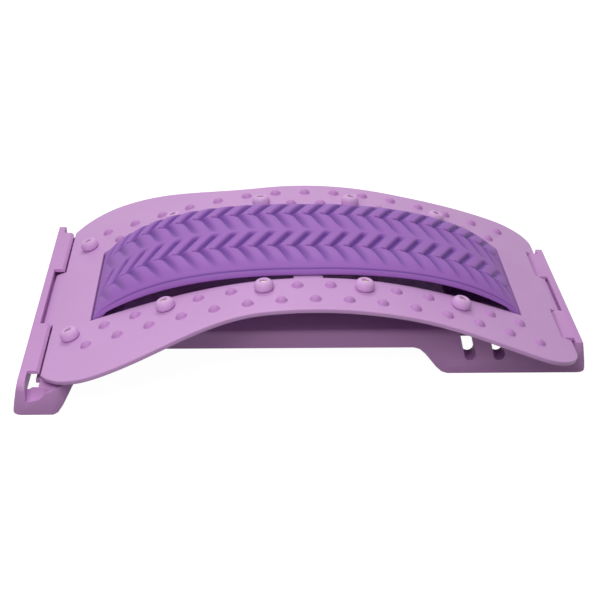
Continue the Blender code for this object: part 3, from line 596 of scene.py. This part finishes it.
def nub_section():
    """Shares of radius and height: a fillet that rises from the sheet, then an elliptical dome
    whose points are cosine and sine of the angle."""
    foot = np.array([[1.17, -0.27], [1.17, 0.0], [1.07, 0.06], [0.99, 0.19]])
    angle = np.radians(np.array([22, 36, 50, 64, 78, 89]))
    dome = np.stack([np.cos(angle), np.sin(angle)], axis=1)
    return np.concatenate([foot, dome]) * [NUB_RADIUS, NUB_HEIGHT]


def board_nubs(places):
    """Each nub turns its section about its own place, laid out flat and then bent."""
    radius, height = nub_section().T
    turn = np.linspace(0, 2 * np.pi, NUB_SIDES, endpoint=False)
    s = places[:, 0, None, None] + radius[None, :, None] * np.cos(turn)
    y = places[:, 1, None, None] + radius[None, :, None] * np.sin(turn)
    points = bent(s, y, np.broadcast_to(height[None, :, None], s.shape))
    one = cells(len(radius), NUB_SIDES, around=True).reshape(-1, 4)
    faces = one[None] + (np.arange(len(places)) * radius.size * NUB_SIDES)[:, None, None]
    made = piece("board_nubs", points, faces, nub_shaded_abs, "board")
    face_out(made, close=True)
    made.data.shade_smooth()
    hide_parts("arch_board")
    return made


nubs = board_nubs(nub_places())
print("nubs:", len(nub_places()), "with", len(nubs.data.polygons), "faces")

# %% [markdown]
# Ten caps hold the magnets. Each is a full dome that tucks in at its foot, with an eye at its crown,
# a stem through the board and a snap rim below. A Screw modifier could turn the section, but it
# turns about an object's own axis, and these stand on a slope. Each cap is its own piece, because
# each stands for its own solid.

# %% Magnet caps
CAP_SIDES = 48
END_CAP_INSET = 12 * MM
DOME_FOOT, DOME_RISE = 2.3, 4.5
EYE_RIM, DOME_REACH = 2.9, 3.7


def cap_section():
    """Radius and height, written in millimetres: the eye's sloping wall and rim, a dome whose
    radius falls as a power of 2.2 of its height, the foot that tucks in under it, the stem, the
    snap rim and the magnet's pocket."""
    rise = np.sin(np.linspace(np.pi / 2, 0.0, 18))
    dome_height = DOME_FOOT + DOME_RISE * rise
    dome_radius = EYE_RIM + DOME_REACH * (1 - rise ** 2.2) ** (1 / 2.1)
    dome = np.stack([dome_radius, dome_height], axis=1)
    eye = [(2.3, 5.85), (2.5, 6.0), (2.65, 6.6)]
    foot = [(6.55, 1.6), (6.35, 1.0), (6.05, 0.55), (5.7, 0.32), (4.0, 0.32)]
    stem = [(4.0, -3.3), (4.8, -3.3), (4.7, -3.7), (4.0, -4.7)]
    pocket = [(3.1, -4.7), (3.1, 5.75), (2.2, 5.8)]
    return np.concatenate([eye, dome, foot, stem, pocket]) * MM


def magnet_cap(number, s, y):
    """The section turned about the normal of the board at (s, y), with its last ring joined to its
    first one."""
    radius, height = cap_section().T
    turn = np.linspace(0, 2 * np.pi, CAP_SIDES, endpoint=False)
    along = radius[:, None] * np.cos(turn)
    across = radius[:, None] * np.sin(turn)
    slope = float(slope_at(s))
    foot = bent(s, y, 0.0)
    x = foot[0] + along * math.cos(slope) + height[:, None] * math.sin(slope)
    z = foot[2] - along * math.sin(slope) + height[:, None] * math.cos(slope)
    points = np.stack([x, y + across, z], axis=-1)
    ring = np.arange(CAP_SIDES)
    after = (ring + 1) % CAP_SIDES
    last = (len(radius) - 1) * CAP_SIDES
    closing = np.stack([last + ring, last + after, after, ring], axis=1)
    faces = cells(len(radius), CAP_SIDES, around=True).reshape(-1, 4)
    faces = np.concatenate([faces, closing])
    made = piece(f"cap_{number:02d}", points, faces, cap_abs, "board")
    face_out(made)
    made.data.set_sharp_from_angle(angle=SHARP)
    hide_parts(f"magnet_cap_{number:02d}")
    return made


cap_s = [WINDOW_LEFT - END_CAP_INSET] + [k * PITCH_ALONG for k in (-4.5, -1.5, 1.5, 4.5)]
cap_places = [(s, side * CAP_Y) for side in (-1, 1) for s in cap_s]
caps = [magnet_cap(number, s, y) for number, (s, y) in enumerate(cap_places, start=1)]
print("caps:", len(caps), "with", len(caps[0].data.polygons), "faces each")

# %% [markdown]
# The pad is one moulded block of elastomer. It bulges away from the board between the bar and its
# ends, it is domed across, and two rows of chevrons are pressed into its top. It could be sculpted,
# but its top is a height over a grid, so it is worked out as one: lift, side height, dome and swell
# first, then the relief and the border line taken off.

# %% Pad: its body without the relief
PAD_END_GAP = 1.3 * MM
PAD_HALF = WINDOW_HALF - PAD_END_GAP
PAD_END, PAD_BOW = 51.8 * MM, 2 * MM
PAD_GAP, PAD_LIFT = 0.5 * MM, 4.4 * MM
PAD_THIN_END, PAD_SIDE, PAD_CROWN = 0.6 * MM, 3.0 * MM, 6.4 * MM
LEFT_SWELL, MIDDLE_SWELL = 4.0 * MM, 1.8 * MM


def pad_half_width(t):
    """51.8 mm at the ends and 2 mm more at the middle, a cosine bow."""
    return PAD_END + PAD_BOW * np.cos(np.pi / 2 * t / PAD_HALF)


def pad_lift(t):
    """The lower edge bulges 4.4 mm off the board on each side of the bar: a sine wave whose share
    is raised to 1.6, so that it peaks nearer the ends."""
    return PAD_GAP + PAD_LIFT * np.sin(np.pi * np.minimum(np.abs(t / PAD_HALF), 1.0) ** 1.6)


def pad_top(t, share):
    """Height over the lower edge: the side's height plus a crown that falls off as the eighth
    power of the share across. The crown's left half swells by a sine wave and its middle by the
    sixth power of a cosine, and both ends thin out as the tenth power of the share along."""
    full = 1 - np.abs(t / PAD_HALF) ** 10
    side = -PAD_THIN_END + PAD_SIDE * full
    swell = LEFT_SWELL * np.sin(np.pi * np.clip(-t / PAD_HALF, 0.0, 1.0) ** 1.4)
    middle = MIDDLE_SWELL * np.cos(np.pi / 2 * t / PAD_HALF) ** 6
    return side + (PAD_CROWN * full + swell + middle) * (1 - np.abs(share) ** 8)


print("pad length", round(2 * PAD_HALF / MM, 1), "mm, width", round(2 * (PAD_END + PAD_BOW) / MM, 1), "mm")

# %% [markdown]
# Each chevron points left. Its upper arm is a straight, crisp leaf, and its lower arm is an
# S-curve that fades into a tail. A leaf falls steeply on one side and rises slowly on the other,
# so every valley is a lopsided bell over the place along the pad. Formulas like these repeat
# exactly, where 48 modelled arms would each need their own care.

# %% Pad: chevron relief
CHEVRONS = 24
SWEEP = 12 * MM
RELIEF = 2.3 * MM
PAD_MIDDLE_HALF = 53.8 * MM
BACK_ROW = (49.3, 24.6, -3.4)
FRONT_ROW = (-3.4, -27.9, -49.8)


def valley(phase, centre, fall, rise):
    """A bell over the phase, 1 at its centre, narrow before it and wide after it."""
    away = (phase - centre + 0.5) % 1.0 - 0.5
    width = np.where(away < 0, fall, rise)
    return np.exp(-((away / width) ** 2))


def upper_arm(t, out):
    """Straight and bold. It fades out just before the row's back edge, and a thin ridge runs
    along the foot of the arms."""
    phase = (t + PAD_HALF - SWEEP * out) * CHEVRONS / (2 * PAD_HALF)
    stroke = valley(phase, 0.30, 0.12, 0.23) * (1 - ease((out - 0.80) / 0.20))
    return 1.1 * stroke - 0.2 * np.exp(-((out / 0.05) ** 2))


def lower_arm(t, out):
    """Sweeps along an arcsine S: level, steep, level. It starts as a wide dash under the ridge
    and fades into its tail."""
    curve = 0.25 * out + 0.75 * (0.5 + np.arcsin(np.clip(2 * out - 1, -1, 1)) / np.pi)
    phase = (t + PAD_HALF - SWEEP * curve) * CHEVRONS / (2 * PAD_HALF)
    fall = 0.12 + 0.42 * np.exp(-out / 0.06)
    return 0.9 * valley(phase, 0.34, fall, 0.24) * (1 - out ** 2.5)


def chevron_relief(t, y, half):
    """Share of the full depth, 0 on crests and 1 in valleys. Each row has a back edge, an apex
    line and a front edge, in millimetres from the middle of the pad at its widest, and each arm
    runs from 0 at the apex to 1 at its row's edge."""
    across = y / half * PAD_MIDDLE_HALF / MM
    relief = 0 * t + 0 * y
    for back, apex, front in (BACK_ROW, FRONT_ROW):
        up = (across - apex) / (back - apex)
        down = (apex - across) / (apex - front)
        relief = np.where((up >= 0) & (up < 1), upper_arm(t, np.clip(up, 0, 1)), relief)
        relief = np.where((down > 0) & (down < 1), lower_arm(t, np.clip(down, 0, 1)), relief)
    return relief * (1 - np.abs(t / PAD_HALF) ** 10)


print("chevron pitch", round(2 * PAD_HALF / CHEVRONS / MM, 2), "mm")

# %% [markdown]
# The relief needs a fine grid, and the rounded edges need finer steps still, which a subdivision
# would spend on the flat parts too. So the places along and across are chosen: even steps inside,
# and steps that follow a quarter turn round each edge.

# %% Pad: places along and across
EDGE_ROUND = 1.3 * MM
MEAN_HALF_WIDTH = 52.8 * MM
BORDER_START = 0.91


def mirrored(half):
    """The places of one half, and the same on the other side of zero."""
    return np.concatenate([-half[:0:-1], half])


def pad_rows():
    """Shares across, -1 to 1: steps of 0.7 mm inside, finer over the border line, and sine steps
    round the edge."""
    edge_share = EDGE_ROUND / MEAN_HALF_WIDTH
    inner = np.linspace(0.0, BORDER_START, 70)
    border = np.linspace(BORDER_START, 1 - edge_share, 15)[1:]
    turn = np.linspace(0.0, np.pi / 2, 5)[1:]
    edge = 1 - edge_share * (1 - np.sin(turn))
    return mirrored(np.concatenate([inner, border, edge]))


def pad_columns():
    """Places along the pad: steps of 0.72 mm, and sine steps round both end edges."""
    turn = np.linspace(0.0, np.pi / 2, 6)[1:]
    inner = np.linspace(0.0, PAD_HALF - EDGE_ROUND, 210)
    return mirrored(np.concatenate([inner, PAD_HALF - EDGE_ROUND * (1 - np.sin(turn))]))


print("pad grid:", len(pad_columns()), "by", len(pad_rows()), "places")

# %% [markdown]
# The top alone would be a thin sheet. Each ring of the pad therefore goes on down its back side,
# along its underside and up its front side, so that the pad is closed and can be printed. Both
# ends go down to the sheet's underside, where a thin tongue tucks in under the board.

# %% Pad: the closed surface
SHEET_GAP, TONGUE = 0.3 * MM, 2.2 * MM
PAD_FOOT = -(SHEET + SHEET_GAP + TONGUE)
END_RAMP, FOOT_TUCK = 12 * MM, 0.9 * MM
LINE_DEPTH, LINE_INSET, LINE_WIDTH = 0.45 * MM, 1.9 * MM, 0.42 * MM
LINE_SHADE = 1800
TONGUE_REACH = (0.15 * MM, 8.8 * MM)


def edge_rounding(distance):
    """How far a quarter round of 1.3 mm drops at a distance from its edge: one less the root of
    one less the share squared, times the radius."""
    over = np.clip(1 - distance / EDGE_ROUND, 0.0, 1.0)
    return EDGE_ROUND * (1 - np.sqrt(1 - over ** 2))


def pad_top_grid(t, share):
    """Height and painted groove shade of the top: lift and body, less the relief, the border line,
    which is a bell 1.9 mm from the edge, and the rounding of sides and ends. The painted shade is 1
    in the valleys and the border line."""
    half = pad_half_width(t)
    y = share * half
    from_edge = half - np.abs(y)
    relief = chevron_relief(t, y, half)
    line = LINE_DEPTH * np.exp(-((from_edge - LINE_INSET) / LINE_WIDTH) ** 2)
    line = line * (1 - np.abs(t / PAD_HALF) ** 20)
    rounding = edge_rounding(from_edge) + edge_rounding(PAD_HALF - np.abs(t))
    height = pad_lift(t) + pad_top(t, share) - RELIEF * relief - line - rounding
    # Painted shade: the valleys and the border line get the darker colour.
    groove_shade = np.clip(np.maximum(relief, 0) ** 0.9 + LINE_SHADE * line, 0, 1)
    return y, height, groove_shade


def pad_rings(t, share):
    """Rings (y, height, groove shade): the top from front to back, the back side, the underside and
    the front side. The lower half of each side tucks in by 0.9 mm, and its foot gets the valleys'
    painted shade."""
    y, top, groove_shade = pad_top_grid(t, share)
    ramp = np.clip((np.abs(t) - (PAD_HALF - END_RAMP)) / END_RAMP, 0.0, 1.0)
    foot = pad_lift(t) * (1 - ramp) + PAD_FOOT * ramp
    down = np.linspace(1.0, 0.0, 6)[None, 1:]
    side_height = foot + (top[:, -1:] - foot) * down
    side_y = pad_half_width(t) - FOOT_TUCK * np.clip(1 - 2 * down, 0.0, 1.0) ** 2
    # Painted shade: the foot of each side and the underside's outer edges get the valleys' colour.
    side_foot_shade = np.where(down <= 0, 1.0, 0.0) + 0 * side_y
    under = np.linspace(1.0, -1.0, 24)[None, 1:]
    under_y = under * (pad_half_width(t) - FOOT_TUCK)
    under_height = foot + 0 * under
    under_edge_shade = np.where(under <= -1, 1.0, 0.0) + 0 * under_y
    back_up = slice(-2, None, -1)
    ring_y = [y, side_y, under_y, -side_y[:, back_up]]
    ring_height = [top, side_height, under_height, side_height[:, back_up]]
    ring_shade = [groove_shade, side_foot_shade, under_edge_shade, side_foot_shade[:, back_up]]
    return [np.concatenate(parts, axis=1) for parts in (ring_y, ring_height, ring_shade)]


def tongue_rings(t, y, top_count):
    """Two rings past an end: the ring's own shares across, squeezed between the tongue's top and
    its underside."""
    end = y / np.abs(y).max() * PAD_END
    height = np.full(y.shape, PAD_FOOT)
    height[:top_count] = PAD_FOOT + TONGUE
    return [(t + np.sign(t) * reach, end, height) for reach in TONGUE_REACH]


print("pad foot", round(PAD_FOOT / MM, 1), "mm from the sheet's top")

# %% [markdown]
# Last, the tongues' rings go on both ends of the body's rings, and the whole stack is bent onto
# the arch like everything else on the board. The painted groove shade goes into the mesh as an
# attribute, which the pad's material reads.

# %% Pad: the finished piece


def make_pad():
    """Rings of the body with the tongues' rings at both ends, joined round and closed."""
    t, share = pad_columns()[:, None], pad_rows()[None]
    y, height, groove_shade = pad_rings(t, share)
    rings = [(float(t[k, 0]), y[k], height[k]) for k in range(len(t))]
    left = tongue_rings(float(t[0, 0]), y[0], share.size)[::-1]
    right = tongue_rings(float(t[-1, 0]), y[-1], share.size)
    place, across, above = [np.array(part) for part in zip(*(left + rings + right))]
    points = bent(WINDOW_MIDDLE + place[:, None], across, above)
    faces = cells(*points.shape[:2], around=True)
    made = piece("pad", points, faces, pad_elastomer, "board")
    values = np.zeros(points.shape[:2], np.float32)
    values[2:-2] = groove_shade
    mark = made.data.attributes.new("groove_shade", "FLOAT", "POINT")
    mark.data.foreach_set("value", values.ravel())
    face_out(made, close=True)
    made.data.shade_smooth()
    made.data.set_sharp_from_angle(angle=math.radians(70))
    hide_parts("chevron_pad")
    return made


pad = make_pad()
print("pad:", len(pad.data.polygons), "faces")

# %% [markdown]
# The stage is a white floor that runs out of sight. More light would whiten it, but it would wash
# out the object too. So the floor shines for the camera and for reflections alone, and its
# diffuse part keeps the object's shadow and sends only a pale floor's light up at the object.

# %% Floor
FLOOR_GLOW, FLOOR_HALF = 0.97, 8.0
PAINT_UNSEEN, PAINT_SEEN = "#8C8C8C", "#7C7C7C"


def seen_directly(tree):
    """1 for camera, glossy and transmission rays, and 0 for all others."""
    path = node(tree, "ShaderNodeLightPath").outputs
    seen = path["Is Camera Ray"]
    for ray in ("Is Glossy Ray", "Is Transmission Ray"):
        seen = node(tree, "ShaderNodeMath", {0: seen, 1: path[ray]}, operation="MAXIMUM").outputs[0]
    return seen


def white_floor():
    """A square of 16 m at height 0. Its paint is a little lighter for the light that it sends up
    than for the camera, which sees the glow as well."""
    corners = [(-FLOOR_HALF, -FLOOR_HALF, 0), (FLOOR_HALF, -FLOOR_HALF, 0),
               (FLOOR_HALF, FLOOR_HALF, 0), (-FLOOR_HALF, FLOOR_HALF, 0)]
    mesh = bpy.data.meshes.new("studio_floor")
    mesh.from_pydata(corners, [], [(0, 1, 2, 3)])
    material, tree, shader = new_material("studio floor matt white paint")
    seen = seen_directly(tree)
    paint = node(tree, "ShaderNodeMix",
                 {"Factor": seen, "A": linear(PAINT_UNSEEN), "B": linear(PAINT_SEEN)},
                 data_type="RGBA")
    glow = node(tree, "ShaderNodeMath", {0: seen, 1: FLOOR_GLOW}, operation="MULTIPLY")
    tree.links.new(paint.outputs["Result"], shader.inputs["Base Color"])
    tree.links.new(glow.outputs[0], shader.inputs["Emission Strength"])
    shader.inputs["Emission Color"].default_value = (1, 1, 1, 1)
    shader.inputs["Roughness"].default_value = 0.9
    shader.inputs["Specular IOR Level"].default_value = 0.1
    mesh.materials.append(material)
    floor = bpy.data.objects.new("studio_floor", mesh)
    bpy.context.collection.objects.link(floor)
    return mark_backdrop(floor)


white_floor()
print("floor:", 2 * FLOOR_HALF, "m wide")

# %% [markdown]
# The photograph has soft light from the upper left front. The object gets darker towards its right
# end, and the shade under the arch is a deep purple. A disc lamp in front on the left, one behind,
# a weak one in front and a dim white sky come close to that. Discs are chosen because their size
# alone sets how soft the shadows are.

# %% Light
AIM = (0, 0, 0.05)
SKY_LIGHT = 0.27


def lamp(name, place, size, power):
    """A disc lamp that faces the middle of the object."""
    data = bpy.data.lights.new(name, "AREA")
    data.shape = "DISK"
    data.size = size
    data.energy = power
    made = bpy.data.objects.new(name, data)
    made.location = place
    made.rotation_euler = (Vector(AIM) - Vector(place)).to_track_quat("-Z", "Y").to_euler()
    bpy.context.collection.objects.link(made)


def white_sky():
    """White for the camera and for reflections, and a dim white light for everything else."""
    world = bpy.data.worlds.new("studio_sky")
    bpy.context.scene.world = world
    world.use_nodes = True
    tree = world.node_tree
    sky = tree.nodes["Background"]
    strength = node(tree, "ShaderNodeMapRange",
                    {"Value": seen_directly(tree), "To Min": SKY_LIGHT, "To Max": 1.0})
    sky.inputs["Color"].default_value = (1, 1, 1, 1)
    tree.links.new(strength.outputs["Result"], sky.inputs["Strength"])


lamp("front_left_lamp", (-0.25, -0.60, 0.80), 0.6, 4.6)
lamp("back_lamp", (-0.10, 0.50, 0.90), 0.6, 3.6)
lamp("front_lamp", (0.25, -1.30, 0.45), 0.7, 0.5)
white_sky()
bpy.context.scene.view_settings.view_transform = "Standard"
print("lamps:", len(bpy.data.lights), "and a sky of strength", SKY_LIGHT)
